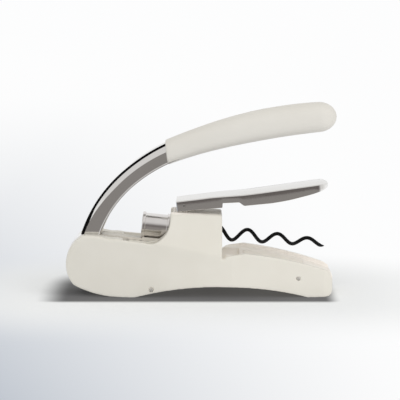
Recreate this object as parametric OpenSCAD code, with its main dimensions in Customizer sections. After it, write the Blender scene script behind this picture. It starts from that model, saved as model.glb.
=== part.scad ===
// Lever corkscrew: rack and pinion drive, guide nut, neck clamp.
// The tool lies on its long side: +X runs from the hinge to the mouth, +Z is up.

/* [Lever] */
// Swing of the lever from closed to fully drawn, degrees
lever_swing = 206; // [190:1:208]
// Module of the drive teeth
tooth_module = 1.25; // [1:0.05:1.35]
// Teeth on the pinion
tooth_count = 22; // [20:1:23]
// Width of the steel neck across the cheeks
neck_w = 15.4; // [13:0.2:17]
// Depth of the neck from back to open edge
neck_depth = 11.7; // [9:0.1:13]
// Sheet thickness of the neck
neck_sheet = 2.2; // [1.6:0.1:2.6]
// Outer radius of the hub rim
rim_r = 19.8; // [19:0.1:20.4]
// Bend radius of the neck next to the hub
bend_low_r = 83.1; // [80:0.1:86]
// Bend radius of the neck next to the grip
bend_high_r = 104.1; // [100:0.1:108]
// Angle where the two bends meet, degrees
bend_join = 133; // [130:0.5:136]
// Width of the grip
grip_w = 23; // [20:0.5:26]
// Height of the grip at its fullest
grip_h = 18.2; // [16:0.1:20]
// Radius of the arc that the grip follows
grip_bend_r = 320; // [300:5:340]
// Length of the grip along its arc
grip_len = 104; // [98:0.5:106]

/* [Body] */
// Radius of the round end over the hinge
bulge_r = 19.5; // [19:0.1:19.6]
// Height of the round end's crown over the hinge
bulge_top = 36.6; // [36:0.1:37.4]
// Width of the body at the back end
back_w = 31; // [28:0.2:34]
// Width of the body beside the mouth
mouth_w = 44; // [40:0.5:46]
// Width of the body at the front end
front_w = 32; // [29:0.5:36]
// Width of the tower at its top
tower_top_w = 26; // [25:0.5:28]
// Height of the tower's back edge
tower_h = 50.4; // [49:0.1:50.6]
// Fall of the tower top towards the mouth, degrees
tower_fall = 2.9; // [1:0.1:4]
// Front face of the tower, from the origin
tower_front = 12.4; // [11.6:0.1:13]
// Length of the tower
tower_len = 30.8; // [30:0.1:31.4]
// Radius of the hollow curve between deck and tower
tower_fillet = 14; // [10:0.5:15]
// Front end of the body, from the origin
front_x = 78.4; // [74:0.1:80]
// Highest point of the cradle's rim
rim_top = 28; // [27:0.1:28.4]
// Radius of the rim's long curve
rim_curve_r = 220; // [200:5:240]
// Depth of the rim above the ledge inside it
rim_step = 2.4; // [1.8:0.1:3]
// Thickness of the rim
rim_wall = 3.6; // [3:0.1:4.5]
// Depth of the scoop in the deck
scoop_depth = 2.8; // [2:0.1:3.4]
// Radius of the heel under the round end
heel_r = 61; // [56:1:70]
// Height of the arch under the body
arch_h = 6.8; // [5:0.1:8]
// Radius of the arch
arch_r = 195; // [180:5:240]

/* [Worm] */
// Slope of the worm's axis down to the mouth, degrees
axis_tilt = 5.8; // [5:0.1:6.5]
// Distance from the hinge to the worm's axis
axis_rise = 24; // [23.6:0.1:24.6]
// Pitch of the worm
worm_pitch = 18.2; // [16:0.1:20]
// Wire diameter of the worm
wire_d = 2.2; // [1.8:0.1:2.3]
// Radius of the worm's centre line where it is widest
worm_r = 4; // [3.6:0.1:4.2]
// Radius of the worm's centre line at the point
worm_tip_r = 1.7; // [1.4:0.1:2.2]
// Position of the worm's point along the axis
worm_end = 133.5; // [130:0.5:135]

/* [Carriage] */
// Outer diameter of the drive head
head_d = 16.3; // [15.6:0.1:16.6]
// Length of the drive head
head_len = 16.9; // [15.5:0.1:17]
// Start of the drive head along the axis
head_start = 23.1; // [22.8:0.1:23.4]
// Width of the rack bar
bar_w = 9.4; // [8.6:0.1:9.6]
// Height of the rack bar's back above the hinge
bar_top = 16.5; // [16.4:0.05:16.7]

/* [Clamp] */
// Width of the clamp lever
clamp_w = 27; // [26.6:0.2:29]
// Length of the clamp lever from pin to nose
clamp_len = 86.5; // [82:0.5:88]
// Extra height of the clamp lever towards its nose
clamp_swell = 1.2; // [0.6:0.1:1.5]
// Upward slope of the clamp lever at rest, degrees
clamp_slope = 6.5; // [6:0.1:7.5]
// Closing angle of the clamp lever, degrees
clamp_close = 9.5; // [6:0.5:10]
// Sheet thickness of the clamp lever
clamp_sheet = 1; // [0.8:0.1:1.1]
// Clamp pin, distance from the origin towards the back
clamp_pin_x = 10.1; // [9:0.1:11]
// Height of the clamp pin over the tower's back edge
clamp_pin_rise = 3.8; // [3.6:0.1:4.4]
// Clamp pin diameter
clamp_pin_d = 1.8; // [1.6:0.1:2]

/* [Bottle] */
// Radius of the bottle neck that the cradle holds
neck_r = 14.9; // [14.6:0.1:15.1]
// Radius of the relief for the bottle's lip
lip_r = 17; // [16.4:0.1:17.4]
// Length of the lip relief
lip_len = 11; // [10:0.5:12]
// Thickness of the cradle liner
liner_t = 1.5; // [1.2:0.1:1.8]

/* [Fits] */
// Gap between parts that pass each other
gap = 0.3; // [0.25:0.05:0.35]
// Radial running fit of turning shafts
run_fit = 0.06; // [0.03:0.01:0.1]
// Room beside the lever inside the body
side_room = 0.8; // [0.7:0.1:1]
// Play taken off each flank of a tooth
flank_play = 0.09; // [0.07:0.01:0.12]

/* [Hidden] */

$fn = 64;
hub_x = -61;
hub_z = bulge_r;
pitch_r = tooth_module * tooth_count / 2;
stroke = pitch_r * lever_swing * PI / 180;
slot_half = neck_w / 2 + side_room;
cheek_in = neck_w / 2 - neck_sheet;
deck_v = 15.1;
bore_r = worm_r + wire_d / 2 + 0.9;
nut_r = 6.9;
nut_u = 66;
nut_t = 3;
bar_end = 69;
heel_x = -47.5;
clamp_pin_z = tower_h + clamp_pin_rise;
curb = bar_w / 2 + gap + 1.3;
worm_phase = 87.3;
shank_end = head_start + head_len + 1.8;
bar_start = -7;
tower_back = tower_front - tower_len;
neck_foot = [-74.24, 27.63];
low_c = neck_foot - bend_low_r * [cos(170), sin(170)];
high_c = low_c - (bend_high_r - bend_low_r) * [cos(bend_join), sin(bend_join)];
grip_root = high_c + (bend_high_r - 7.27) * [cos(116.05), sin(116.05)];
grip_aim = 111.49;
tang_end = 99;
grip_from = 113;
grip_lean = 97;
rim_end = 389 - lever_swing;
axle_d = 6;
pin_d = 2.4;
screw_spots = [[-38.5, 9.5], [12, 12.5], [40, 9.5]];
pin_spots = [[-29.6, 4.8], [57.6, 11.3]];
head_r = head_d / 2;
mouth_u = (tower_front - hub_x) * cos(axis_tilt);

// Colours
cream = [0.86, 0.85, 0.81];
cream_soft = [0.87, 0.86, 0.82];
chrome = [0.80, 0.79, 0.77];
steel = [0.66, 0.65, 0.62];
black = [0.06, 0.06, 0.06];
grey_rubber = [0.25, 0.25, 0.25];

// Frame of the worm's axis: x along the axis, z away from the hinge
module on_axis() {
  translate([hub_x, 0, hub_z]) rotate([0, axis_tilt, 0]) children();
}

// Cylinder along the worm's axis between two positions
module axis_rod(u0, u1, r) {
  on_axis() translate([u0, 0, axis_rise]) rotate([0, 90, 0]) cylinder(h = u1 - u0, r = r);
}

// Side outline in X and Z, made solid across the width
module across(y0, y1) {
  translate([0, y1, 0]) rotate([90, 0, 0]) linear_extrude(y1 - y0) children();
}

// Rod across the body at a place in the side view
module cross_rod(p, y0, y1, r) {
  translate([p[0], y0, p[1]]) rotate([-90, 0, 0]) cylinder(h = y1 - y0, r = r);
}

// Part of the side view under the rim's long curve, lowered by drop
module under_rim_2d(drop) {
  translate([2.8, rim_top - rim_curve_r - drop]) circle(r = rim_curve_r, $fn = 256);
}

function deck_z(x, v) = hub_z + (v - (x - hub_x) * sin(axis_tilt)) / cos(axis_tilt);

// Room that the swinging neck sweeps through
module swing_room_2d() {
  c = low_c - [hub_x, hub_z];
  ca = cos(lever_swing);
  sa = sin(lever_swing);
  translate([hub_x, hub_z]) circle(r = rim_r + 1.8);
  intersection() {
    translate([hub_x + c[0] * ca - c[1] * sa, hub_z + c[0] * sa + c[1] * ca])
      circle(r = bend_low_r + 0.9, $fn = 128);
    translate([hub_x - 25, -1]) square([60, 46]);
  }
}

// Outline of the body from the side
module side_outline() {
  deck_back = deck_z(hub_x, deck_v);
  foot = tower_back - tower_fillet;
  difference() {
    union() {
      intersection() {
        translate([hub_x, hub_z]) circle(r = bulge_r, $fn = 128);
        polygon([
          [hub_x - 25, 0], [hub_x + 25, 0], [hub_x + 25, deck_z(hub_x + 25, deck_v)],
          [hub_x + 15, deck_z(hub_x + 15, deck_v)], [hub_x, bulge_top], [hub_x - 25, bulge_top + 1]
        ]);
      }
      polygon([
        [hub_x, hub_z - bulge_r], [tower_front, hub_z - bulge_r],
        [tower_front, deck_z(tower_front, deck_v)], [hub_x, deck_back]
      ]);
      polygon([
        [tower_back, 10], [tower_front, 10],
        [tower_front, tower_h - tower_len * tan(tower_fall)], [tower_back, tower_h]
      ]);
      difference() {
        translate([foot, 10]) square([tower_fillet + 1, deck_z(foot, deck_v) + tower_fillet - 10]);
        translate([foot, deck_z(foot, deck_v) + tower_fillet]) circle(r = tower_fillet);
      }
      intersection() {
        translate([tower_front - 6, 0]) square([front_x - tower_front + 6, rim_top + 2]);
        under_rim_2d(0);
      }
      translate([tower_front - 1, hub_z - bulge_r]) square([30, 5]);
    }
    translate([12, arch_h - arch_r]) circle(r = arch_r, $fn = 256);
    // Heel that lifts the round end off the table
    difference() {
      translate([hub_x - 25, -1]) square([heel_x - hub_x + 25, heel_r / 2]);
      translate([heel_x, heel_r]) circle(r = heel_r, $fn = 256);
    }
    // Dip of the rim beside the tower
    polygon([
      [tower_front, rim_top + 5], [tower_front, rim_top - 5.4], [tower_front + 2.2, rim_top - 3],
      [tower_front + 5, rim_top - 2.2], [tower_front + 12.5, rim_top - 1.3], [tower_front + 14, rim_top + 5]
    ]);
    difference() {
      translate([front_x - 4, -1]) square([6, 5]);
      translate([front_x - 4, 4]) circle(r = 4);
    }
    difference() {
      translate([front_x - 3, rim_top - 16]) square([5, 12]);
      translate([front_x - 3, rim_top - 16]) circle(r = 3);
    }
  }
}

// Plan of the body, drawn in by an amount all round
module body_plan_2d(inset) {
  wide = mouth_w / 2 - inset;
  back = back_w / 2 - inset;
  front = front_w / 2 - inset;
  polygon([
    [hub_x - 21, -back], [18, -wide], [front_x + 1, -front],
    [front_x + 1, front], [18, wide], [hub_x - 21, back]
  ]);
}

// Outer form of the body: side view, plan and end view cut into each other
module body_form() {
  wide = mouth_w / 2;
  top = tower_top_w / 2;
  intersection() {
    across(-wide - 1, wide + 1) side_outline();
    translate([0, 0, -1]) linear_extrude(60) difference() {
      body_plan_2d(0);
      for (s = [-1, 1]) difference() {
        translate([front_x - 5, s * front_w / 2 - 5]) square([10, 10]);
        translate([front_x - 6, s * (front_w / 2 - 5.6)]) circle(r = 6);
        translate([front_x - 6, s > 0 ? -1 : -front_w / 2 + 5.6]) square([6, front_w / 2 - 4.6]);
        translate([front_x - 16, s * front_w / 2 - 10]) square([10, 20]);
      }
    }
    translate([hub_x - 22, 0, 0]) rotate([90, 0, 90]) linear_extrude(front_x - hub_x + 24)
      polygon([
        [-wide + 2, 0], [wide - 2, 0], [wide, 3], [wide, 24],
        [top + 0.6, tower_h - 2.2], [top - 1.6, tower_h + 0.5],
        [-top + 1.6, tower_h + 0.5], [-top - 0.6, tower_h - 2.2], [-wide, 24], [-wide, 3]
      ]);
  }
}

// Two lugs on the tower that carry the clamp pin
module pin_lugs(s) {
  p = [-clamp_pin_x, clamp_pin_z];
  y0 = s > 0 ? 4.2 : -6.6;
  difference() {
    union() {
      cross_rod(p, y0, y0 + 2.4, 1.75);
      translate([p[0] - 1.75, y0, tower_h - 3]) cube([3.5, 2.4, p[1] - tower_h + 3]);
    }
    cross_rod(p, y0 - 1, y0 + 4, clamp_pin_d / 2);
  }
}

// Everything that is hollow inside the two shells
module body_hollows() {
  across(-slot_half, slot_half) swing_room_2d();
  // Way of the rack bar
  on_axis() translate([8, -bar_w / 2 - gap, bar_top - tooth_module * 3.4 - gap])
    cube([bar_end - 8 + 0.7, bar_w + gap * 2, tooth_module * 3.4 + gap * 2]);
  // Open bed of the drive head
  axis_rod(5, head_start + head_len + 1.2, head_r + 0.45);
  on_axis() translate([5, -head_r - 0.45, axis_rise])
    cube([head_start + head_len - 3.8, head_d + 0.9, 14]);
  axis_rod(30, nut_u + 20, bore_r);
  // Ledge inside the rim
  intersection() {
    translate([0, 0, 2]) linear_extrude(60) body_plan_2d(rim_wall);
    across(-25, 25) difference() {
      translate([tower_front, 8]) square([front_x - tower_front + 2, 40]);
      under_rim_2d(rim_step);
    }
  }
  // Scoops in the deck, each side of the curbs that guard the rack bar
  intersection() {
    translate([0, 0, 2]) linear_extrude(60) body_plan_2d(rim_wall);
    on_axis() for (s = [-1, 1]) translate([13, s > 0 ? curb : -curb - 25, deck_v - scoop_depth])
      cube([head_start + head_len - 12, 25, scoop_depth + 3]);
  }
  // Seat of the guide nut
  intersection() {
    axis_rod(nut_u, nut_u + nut_t, nut_r + 1.8);
    on_axis() translate([nut_u - 1, -nut_r - 2, axis_rise - nut_r]) cube([9, 20, nut_r * 2]);
  }
  // Mouth: lip relief, then the cradle
  intersection() {
    axis_rod(mouth_u - 9, mouth_u + lip_len - 1, lip_r);
    translate([tower_front, -25, 0]) cube([60, 50, 80]);
  }
  axis_rod(mouth_u + lip_len - 2, 150, neck_r);
  axis_rod(mouth_u + lip_len + 2, mouth_u + lip_len + 38, neck_r + liner_t);
  // Hollow core under the tower
  translate([-30, -13, 9.6]) cube([36, 26, 11]);
  cross_rod([hub_x, hub_z], -back_w / 2 + 2.4, back_w / 2 - 2.4, axle_d / 2);
  for (p = pin_spots) cross_rod(p, -25, 25, pin_d / 2);
  for (p = screw_spots) {
    cross_rod(p, -12, 30, 1.5);
    cross_rod(p, 13.4, 30, 2.8);
  }
}

module half_shell(s) {
  difference() {
    intersection() {
      body_form();
      translate([hub_x - 30, s > 0 ? 0 : -30, -1]) cube([200, 30, 90]);
    }
    body_hollows();
  }
  pin_lugs(s);
}

module near_shell() { color(cream) half_shell(-1); }

module far_shell() { color(cream) half_shell(1); }

// Plate with a twisted slot that the worm's wire threads through
module guide_nut() {
  out = worm_r + wire_d / 2 + 0.3;
  slot = concat(
    [for (a = [-24:12:24]) out * [cos(a), sin(a)]],
    [for (a = [90:30:270]) 2.15 * [cos(a), sin(a)]]
  );
  color(steel) difference() {
    intersection() {
      axis_rod(nut_u, nut_u + nut_t, nut_r + 1.8);
      on_axis() translate([nut_u - 1, -nut_r - 2, axis_rise - nut_r]) cube([9, 20, nut_r * 2]);
    }
    on_axis() translate([0, 0, axis_rise]) polyhedron(
      [for (i = [0:8])
        let (u = nut_u - 0.5 + i * (nut_t + 1) / 8, t = 90 + 360 * (u - worm_phase) / worm_pitch)
        for (q = slot)
          [u, q[0] * cos(t) - q[1] * sin(t), q[0] * sin(t) + q[1] * cos(t)]],
      tube_faces(9, len(slot))
    );
  }
}

module axle() {
  color(steel) cross_rod([hub_x, hub_z], -back_w / 2 + 2.5, back_w / 2 - 2.5, axle_d / 2 - run_fit);
}

// Thin rings that keep the lever off the shells
module axle_washers() {
  color(steel) for (s = [-1, 1]) difference() {
    cross_rod([hub_x, hub_z], s * (slot_half - 0.3) - 0.3, s * (slot_half - 0.3) + 0.3, 6);
    cross_rod([hub_x, hub_z], -20, 20, axle_d / 2 + run_fit);
  }
}

module body_pins() {
  color(steel) for (p = pin_spots)
    cross_rod(p, -body_half(p[0]) - 0.1, body_half(p[0]) + 0.1, pin_d / 2);
}

// Half width of the body in plan
function body_half(x) = x < 18
  ? back_w / 2 + (mouth_w - back_w) / 2 * (x - hub_x + 21) / (18 - hub_x + 21)
  : mouth_w / 2 - (mouth_w - front_w) / 2 * (x - 18) / (front_x + 1 - 18);

// Screws from the far side, with hexagon sockets
module shell_screws() {
  color(steel) for (p = screw_spots) difference() {
    union() {
      cross_rod(p, -11.5, 13.4, 1.5);
      cross_rod(p, 13.4, 15.4, 2.7);
    }
    translate([p[0], 14.2, p[1]]) rotate([-90, 0, 0]) cylinder(h = 3, r = 1.3, $fn = 6);
  }
}

module cradle_liner() {
  color(cream_soft) difference() {
    intersection() {
      axis_rod(mouth_u + lip_len + 2, mouth_u + lip_len + 38, neck_r + liner_t);
      across(-20, 20) under_rim_2d(rim_step + 0.2);
    }
    axis_rod(mouth_u, 150, neck_r);
    on_axis() translate([0, -20, axis_rise - 11]) cube([150, 40, 40]);
  }
}

module clamp_pin() {
  color(steel) cross_rod([-clamp_pin_x, clamp_pin_z], -clamp_w / 2, clamp_w / 2, clamp_pin_d / 2);
}

// Sweep of a round wire along points, each [x, y, z], with its own radius
function sweep_rings(path, radii, sides) = [
  for (i = [0:len(path) - 1])
    let (
      a = path[max(i - 1, 0)],
      b = path[min(i + 1, len(path) - 1)],
      t = (b - a) / norm(b - a),
      h = abs(t[2]) > 0.8 ? [0, 1, 0] : [0, 0, 1],
      n0 = cross(t, h),
      n = n0 / norm(n0),
      m = cross(t, n)
    )
    for (k = [0:sides - 1])
      path[i] + radii[i] * (cos(360 * k / sides) * n + sin(360 * k / sides) * m)
];

function tube_faces(rings, sides) = concat(
  [for (i = [0:rings - 2], k = [0:sides - 1])
    [i * sides + k, (i + 1) * sides + k, (i + 1) * sides + (k + 1) % sides]],
  [for (i = [0:rings - 2], k = [0:sides - 1])
    [i * sides + k, (i + 1) * sides + (k + 1) % sides, i * sides + (k + 1) % sides]],
  [[for (k = [0:sides - 1]) k]],
  [[for (k = [sides - 1:-1:0]) (rings - 1) * sides + k]]
);

// Torsion spring round the clamp pin, one leg down, one leg up
module clamp_spring() {
  coil_r = clamp_pin_d / 2 + 0.5;
  turns = 5;
  half = 3.2;
  n = turns * 14;
  coil = [for (i = [0:n]) [
    coil_r * cos(360 * i / 14), -half + 2 * half * i / n, coil_r * sin(360 * i / 14)
  ]];
  color(steel) translate([-clamp_pin_x, 0, clamp_pin_z])
    polyhedron(
      sweep_rings(concat([[coil_r, -half, -2.2]], coil, [[coil_r, half, 1.2]]),
        [for (i = [0:n + 2]) 0.28], 8),
      tube_faces(n + 3, 8)
    );
}

// Soft ring that the drive head comes to rest on
module head_buffer() {
  u = head_start + head_len + gap;
  color(grey_rubber) difference() {
    axis_rod(u, u + 0.9, head_r - 0.3);
    axis_rod(u - 1, u + 2, bore_r + 0.2);
    on_axis() translate([u - 1, -bar_w / 2 - gap, 10]) cube([3, bar_w + gap * 2, bar_top + gap - 10]);
  }
}

// U section swept round a bend centre, web outside, from angle a0 to a1
module bend_channel(c, r, a0, a1, inset = 0) {
  half = neck_w / 2 - inset;
  r_out = r - inset;
  r_in = r - neck_depth + inset;
  r_web = r - neck_sheet + inset;
  cheek = cheek_in + inset;
  translate([c[0], 0, c[1]]) rotate([90, 0, 0]) rotate([0, 0, a0])
    rotate_extrude(angle = a1 - a0, $fn = 180) polygon([
      [r_in, -half], [r_out - 2.6, -half], [r_out, -half + 2.2],
      [r_out, half - 2.2], [r_out - 2.6, half], [r_in, half],
      [r_in, cheek], [r_web, cheek], [r_web, -cheek], [r_in, -cheek]
    ]);
}

// Wedge in the side view between two directions from the hinge
module rim_wedge_2d(a0, a1) {
  polygon(concat([[hub_x, hub_z]], [for (a = [a0:(a1 - a0) / 4:a1 + 0.01])
    [hub_x + 30 * cos(a), hub_z + 30 * sin(a)]]));
}

// Steel neck with its two hub cheeks and the rim that closes the back
module lever_arm() {
  half = neck_w / 2;
  hub = [hub_x, hub_z];
  color(chrome) difference() {
    union() {
      difference() {
        union() {
          bend_channel(low_c, bend_low_r, bend_join - 0.5, 170, 0.04);
          for (s = [-1, 1]) across(s > 0 ? cheek_in : -half, s > 0 ? half : -cheek_in) {
            translate(hub) circle(r = rim_r - 2.4);
            intersection() {
              translate(hub) circle(r = rim_r);
              rim_wedge_2d(121, rim_end + 6);
            }
          }
        }
        cross_rod(hub, -cheek_in, cheek_in, rim_r - neck_sheet);
      }
      across(-half, half) intersection() {
        difference() {
          translate(hub) circle(r = rim_r);
          translate(hub) circle(r = rim_r - neck_sheet);
        }
        rim_wedge_2d(121, rim_end);
      }
      difference() {
        union() {
          bend_channel(high_c, bend_high_r, grip_from - 6, bend_join);
          neck_block(6.4, 1.4, grip_from - 6, grip_from + 3.2);
        }
        on_grip_face() translate([0, -20, -20]) cube([40, 40, 40]);
      }
      // Tang inside the grip
      tang();
    }
    cross_rod(hub, -20, 20, axle_d / 2 + run_fit);
    for (a = [60, 180, 300]) cross_rod(hub + 9 * [cos(a), sin(a)], -20, 20, 1.5);
    for (p = tang_pins) cross_rod(p, -20, 20, 1.5);
  }
}

tang_pins = [for (a = [110, 102.5]) high_c + (bend_high_r - 5.8) * [cos(a), sin(a)]];

module neck_block(half, skin, a0, a1) {
  across(-half, half) intersection() {
    difference() {
      translate(high_c) circle(r = bend_high_r - skin, $fn = 180);
      translate(high_c) circle(r = bend_high_r - neck_depth + skin, $fn = 180);
    }
    polygon([
      high_c, high_c + 150 * [cos(a0), sin(a0)], high_c + 150 * [cos(a1), sin(a1)]
    ]);
  }
}

// Tongue of the neck inside the grip
module tang() {
  neck_block(5.6, 2.4, tang_end, grip_from + 2.5);
}

// Frame of the grip's end face: x points into the grip
module on_grip_face() {
  m = grip_mid(0);
  translate([m[0], 0, m[1]]) rotate([0, 90 - grip_lean, 0]) children();
}

function inv_deg(a) = tan(a) * 180 / PI - a;

// Involute pinion, one tooth straight up towards the rack
module drive_gear() {
  base = pitch_r * cos(20);
  root = pitch_r - tooth_module * 1.25;
  tip = pitch_r + tooth_module;
  play = flank_play / pitch_r * 180 / PI;
  function half_a(r) = 90 / tooth_count - play + inv_deg(20) - inv_deg(acos(min(1, base / r)));
  rr = [for (i = [0:4]) base + (tip - base) * i / 4];
  tooth = concat([[root, -half_a(base) - 0.6]], [for (r = rr) [r, -half_a(r)]],
    [for (i = [4:-1:0]) [rr[i], half_a(rr[i])]], [[root, half_a(base) + 0.6]]);
  pts = [for (t = [0:tooth_count - 1]) for (q = tooth)
    let (a = q[1] + 90 - axis_tilt + t * 360 / tooth_count) q[0] * [cos(a), sin(a)]];
  color(steel) difference() {
    across(-cheek_in, cheek_in) translate([hub_x, hub_z]) polygon(pts);
    cross_rod([hub_x, hub_z], -20, 20, axle_d / 2 + run_fit);
    for (a = [60, 180, 300])
      cross_rod([hub_x, hub_z] + 9 * [cos(a), sin(a)], -20, 20, 1.5);
  }
}

module gear_rivets() {
  color(steel) for (a = [60, 180, 300]) {
    p = [hub_x, hub_z] + 9 * [cos(a), sin(a)];
    cross_rod(p, -neck_w / 2, neck_w / 2, 1.5);
    for (s = [-1, 1]) cross_rod(p, s * (neck_w / 2 + 0.2) - 0.2, s * (neck_w / 2 + 0.2) + 0.2, 2.2);
  }
}

// Point on the grip's centre line
function grip_mid(t) =
  let (
    c0 = grip_root - grip_bend_r * [cos(grip_aim), sin(grip_aim)],
    a = grip_aim - t * grip_len / grip_bend_r * 180 / PI
  )
  c0 + grip_bend_r * [cos(a), sin(a)];

// One ring of the grip: t runs from 0 at the neck to 1 at the tip
function grip_ring(t, shrink, n) =
  let (
    a = grip_aim - t * grip_len / grip_bend_r * 180 / PI,
    mid = grip_mid(t),
    end = t > 0.9 ? sqrt(max(0.002, 1 - pow((t - 0.9) / 0.1, 2))) : 1,
    h = (grip_h * (0.915 + 0.085 * sin(min(1, t / 0.6) * 90)) / 2
      - (t > 0.6 ? 0.8 * (t - 0.6) / 0.4 : 0)) * end - shrink,
    w = (grip_w / 2 - 0.7 * (1 - min(1, t / 0.3))) * pow(end, 0.8) - shrink,
    lean = a * min(1, t / 0.35) + grip_lean * (1 - min(1, t / 0.35))
  )
  [for (k = [0:n - 1])
    let (
      q = 360 * k / n,
      e = 0.78,
      y = w * sign(cos(q)) * pow(abs(cos(q)), e),
      z = h * sign(sin(q)) * pow(abs(sin(q)), e)
    )
    [mid[0] + z * cos(lean), y, mid[1] + z * sin(lean)]];

module grip() {
  n = 32;
  ts = concat([0, 0.012], [for (i = [1:12]) i * 0.07], [0.88, 0.91, 0.935, 0.955, 0.972, 0.985, 0.994, 1]);
  rings = [for (i = [0:len(ts) - 1]) each grip_ring(ts[i], i == 0 ? 1 : 0, n)];
  color(cream_soft) difference() {
    polyhedron(rings, tube_faces(len(ts), n));
    tang();
    for (p = tang_pins) cross_rod(p, -7.4, 7.4, 1.5);
  }
}

module grip_pins() {
  color(steel) for (p = tang_pins) cross_rod(p, -7.4, 7.4, 1.5);
}

// Rack bar with a cradle that carries the drive head
module rack_bar() {
  p = tooth_module * PI;
  tip = pitch_r - tooth_module;
  root = pitch_r + tooth_module * 1.24;
  last = ceil((stroke + 5) / p);
  half = p / 4 - flank_play;
  slope = tan(20);
  color(cream) difference() {
    on_axis() {
      translate([0, bar_w / 2, 0]) rotate([90, 0, 0]) linear_extrude(bar_w) union() {
        translate([bar_start, root]) square([bar_end - bar_start, bar_top - root]);
        for (k = [-2:last]) {
          c = (k + 0.5) * p;
          polygon([
            [c - half - (root - pitch_r) * slope, root + 0.05],
            [c - half + tooth_module * slope, tip], [c + half - tooth_module * slope, tip],
            [c + half + (root - pitch_r) * slope, root + 0.05]
          ]);
        }
        translate([(last + 1.2) * p, tip]) square([bar_end - (last + 1.2) * p, root - tip + 0.05]);
      }
      // Saddle under the drive head
      translate([head_start + 1, -bar_w / 2, bar_top - 0.2]) cube([head_len - 2, bar_w, 2.4]);
    }
    axis_rod(head_start, head_start + head_len, head_r);
    for (u = [head_start + 4, head_start + 12]) on_axis() {
      translate([u, 0, 10]) cylinder(h = 12, r = 1);
      translate([u, 0, root - 0.5]) cylinder(h = 1.05, r1 = 2.17, r2 = 1);
    }
  }
}

// Bright barrel that pushes and pulls the worm
module drive_head() {
  u = head_start;
  color(chrome) difference() {
    on_axis() translate([u, 0, axis_rise]) rotate([0, 90, 0]) rotate_extrude() polygon([
      [0, 2.4], [head_r - 1.2, 2.4], [head_r - 1.2, 0.6], [head_r - 0.6, 0.6], [head_r, 1.2],
      [head_r, head_len - 0.8], [head_r - 0.8, head_len], [0, head_len]
    ]);
    axis_rod(u - 1, u + head_len - 2.4, head_r - 1.8);
    axis_rod(u, u + head_len + 1, 3.1 + run_fit);
    for (v = [u + 4, u + 12]) on_axis() translate([v, 0, 14]) cylinder(h = 4, r = 1);
  }
}

// Screwed-in end of the drive head
module head_cap() {
  u = head_start;
  color(chrome) difference() {
    union() {
      axis_rod(u + 2.4, u + 5, head_r - 1.8);
      axis_rod(u, u + 2.4, head_r - 1.2);
    }
    for (s = [-1, 1]) on_axis() translate([u - 0.5, s * 3.6, axis_rise]) rotate([0, 90, 0])
      cylinder(h = 2, r = 0.9);
  }
}

// Screws up through the rack bar into the drive head
module head_screws() {
  top = axis_rise - head_r + 1.7;
  root = pitch_r + tooth_module * 1.24;
  color(steel) on_axis() for (u = [head_start + 4, head_start + 12]) difference() {
    union() {
      translate([u, 0, root + 0.1]) cylinder(h = top - root - 0.1, r = 1);
      translate([u, 0, root + 0.1]) cylinder(h = 0.45, r1 = 1.5, r2 = 1);
    }
    translate([u, 0, root - 1]) cylinder(h = 1.6, r = 0.7, $fn = 6);
  }
}

// Bearing rings either side of the shank's collar
module thrust_washers() {
  u = head_start + 5;
  color(steel) for (w = [u, u + 7.2]) difference() {
    axis_rod(w, w + 1.4, head_r - 2.1);
    axis_rod(w - 1, w + 3, 3.1 + run_fit);
  }
}

// Radius of the worm's centre line at a position along the axis
function worm_radius(u) =
  u < shank_end + 9.1 ? worm_r * pow(sin(min(90, max(0, (u - shank_end - 0.1) * 10))), 2)
  : u < 70 ? worm_r
  : worm_r - (worm_r - worm_tip_r) * (u - 70) / (worm_end - 70);

// Coiled wire with a sharpened point
module worm() {
  step = 0.72;
  from = shank_end + 0.6;
  n = floor((worm_end - from) / step);
  us = concat([shank_end, shank_end + 0.3], [for (i = [0:n]) from + i * (worm_end - from) / n]);
  path = [for (u = us)
    let (a = 90 + 360 * (u - worm_phase) / worm_pitch, r = worm_radius(u))
    [u, r * cos(a), r * sin(a)]];
  radii = [for (u = us) u > worm_end - 7
    ? max(0.06, wire_d / 2 * pow((worm_end - u) / 7, 0.6)) : wire_d / 2];
  color(black) on_axis() translate([0, 0, axis_rise])
    polyhedron(sweep_rings(path, radii, 10), tube_faces(len(us), 10));
}

// Shank that turns in the drive head, with its thrust collar
module worm_shank() {
  u = head_start + 5;
  color(steel) union() {
    axis_rod(u + 1.5, u + 7.1, head_r - 2.1);
    axis_rod(u + 0.2, shank_end, 3.1);
  }
}

module shank_clip() {
  color(steel) difference() {
    axis_rod(head_start + head_len + gap, shank_end - 0.7, 4.4);
    axis_rod(head_start + head_len - 1, shank_end + 1, 3.1);
  }
}

// Frame of the clamp lever: x from the pin to the nose
module on_clamp() {
  translate([-clamp_pin_x, 0, clamp_pin_z]) rotate([0, -clamp_slope, 0]) children();
}

// Height of the clamp lever's back at a place along it
function clamp_top(x) = 2.9 + clamp_swell * max(0, x - 22) / (clamp_len - 28);

// Side outline of the clamp lever
module clamp_side_2d() {
  polygon([
    [-4.6, -2.8], [22.3, -3.0], [22.8, -0.9], [32.6, -1.4], [35.4, -3.7], [51.8, -3.9],
    [65.5, -2.4], [75.8, -0.9], [clamp_len - 3.6, 0.4], [clamp_len - 0.6, 1.4],
    [clamp_len, 2.4], [clamp_len - 0.8, clamp_top(clamp_len) - 0.7],
    [clamp_len - 3, clamp_top(clamp_len) - 0.1], [clamp_len - 6, clamp_top(clamp_len - 6)],
    [22, 2.9], [-3.8, 2.9], [-4.6, 2.2]
  ]);
}

// Plan of the clamp lever, shrunk by the sheet for the inside
module clamp_plan_2d(inset) {
  w = clamp_w / 2 - inset;
  r = 9 - inset;
  x1 = clamp_len - inset;
  translate([-8, -w]) square([x1 - r + 8, w * 2]);
  translate([-8, -w + r]) square([x1 + 8, w * 2 - r * 2]);
  for (s = [-1, 1]) translate([x1 - r, s * (w - r)]) circle(r = r);
}

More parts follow.
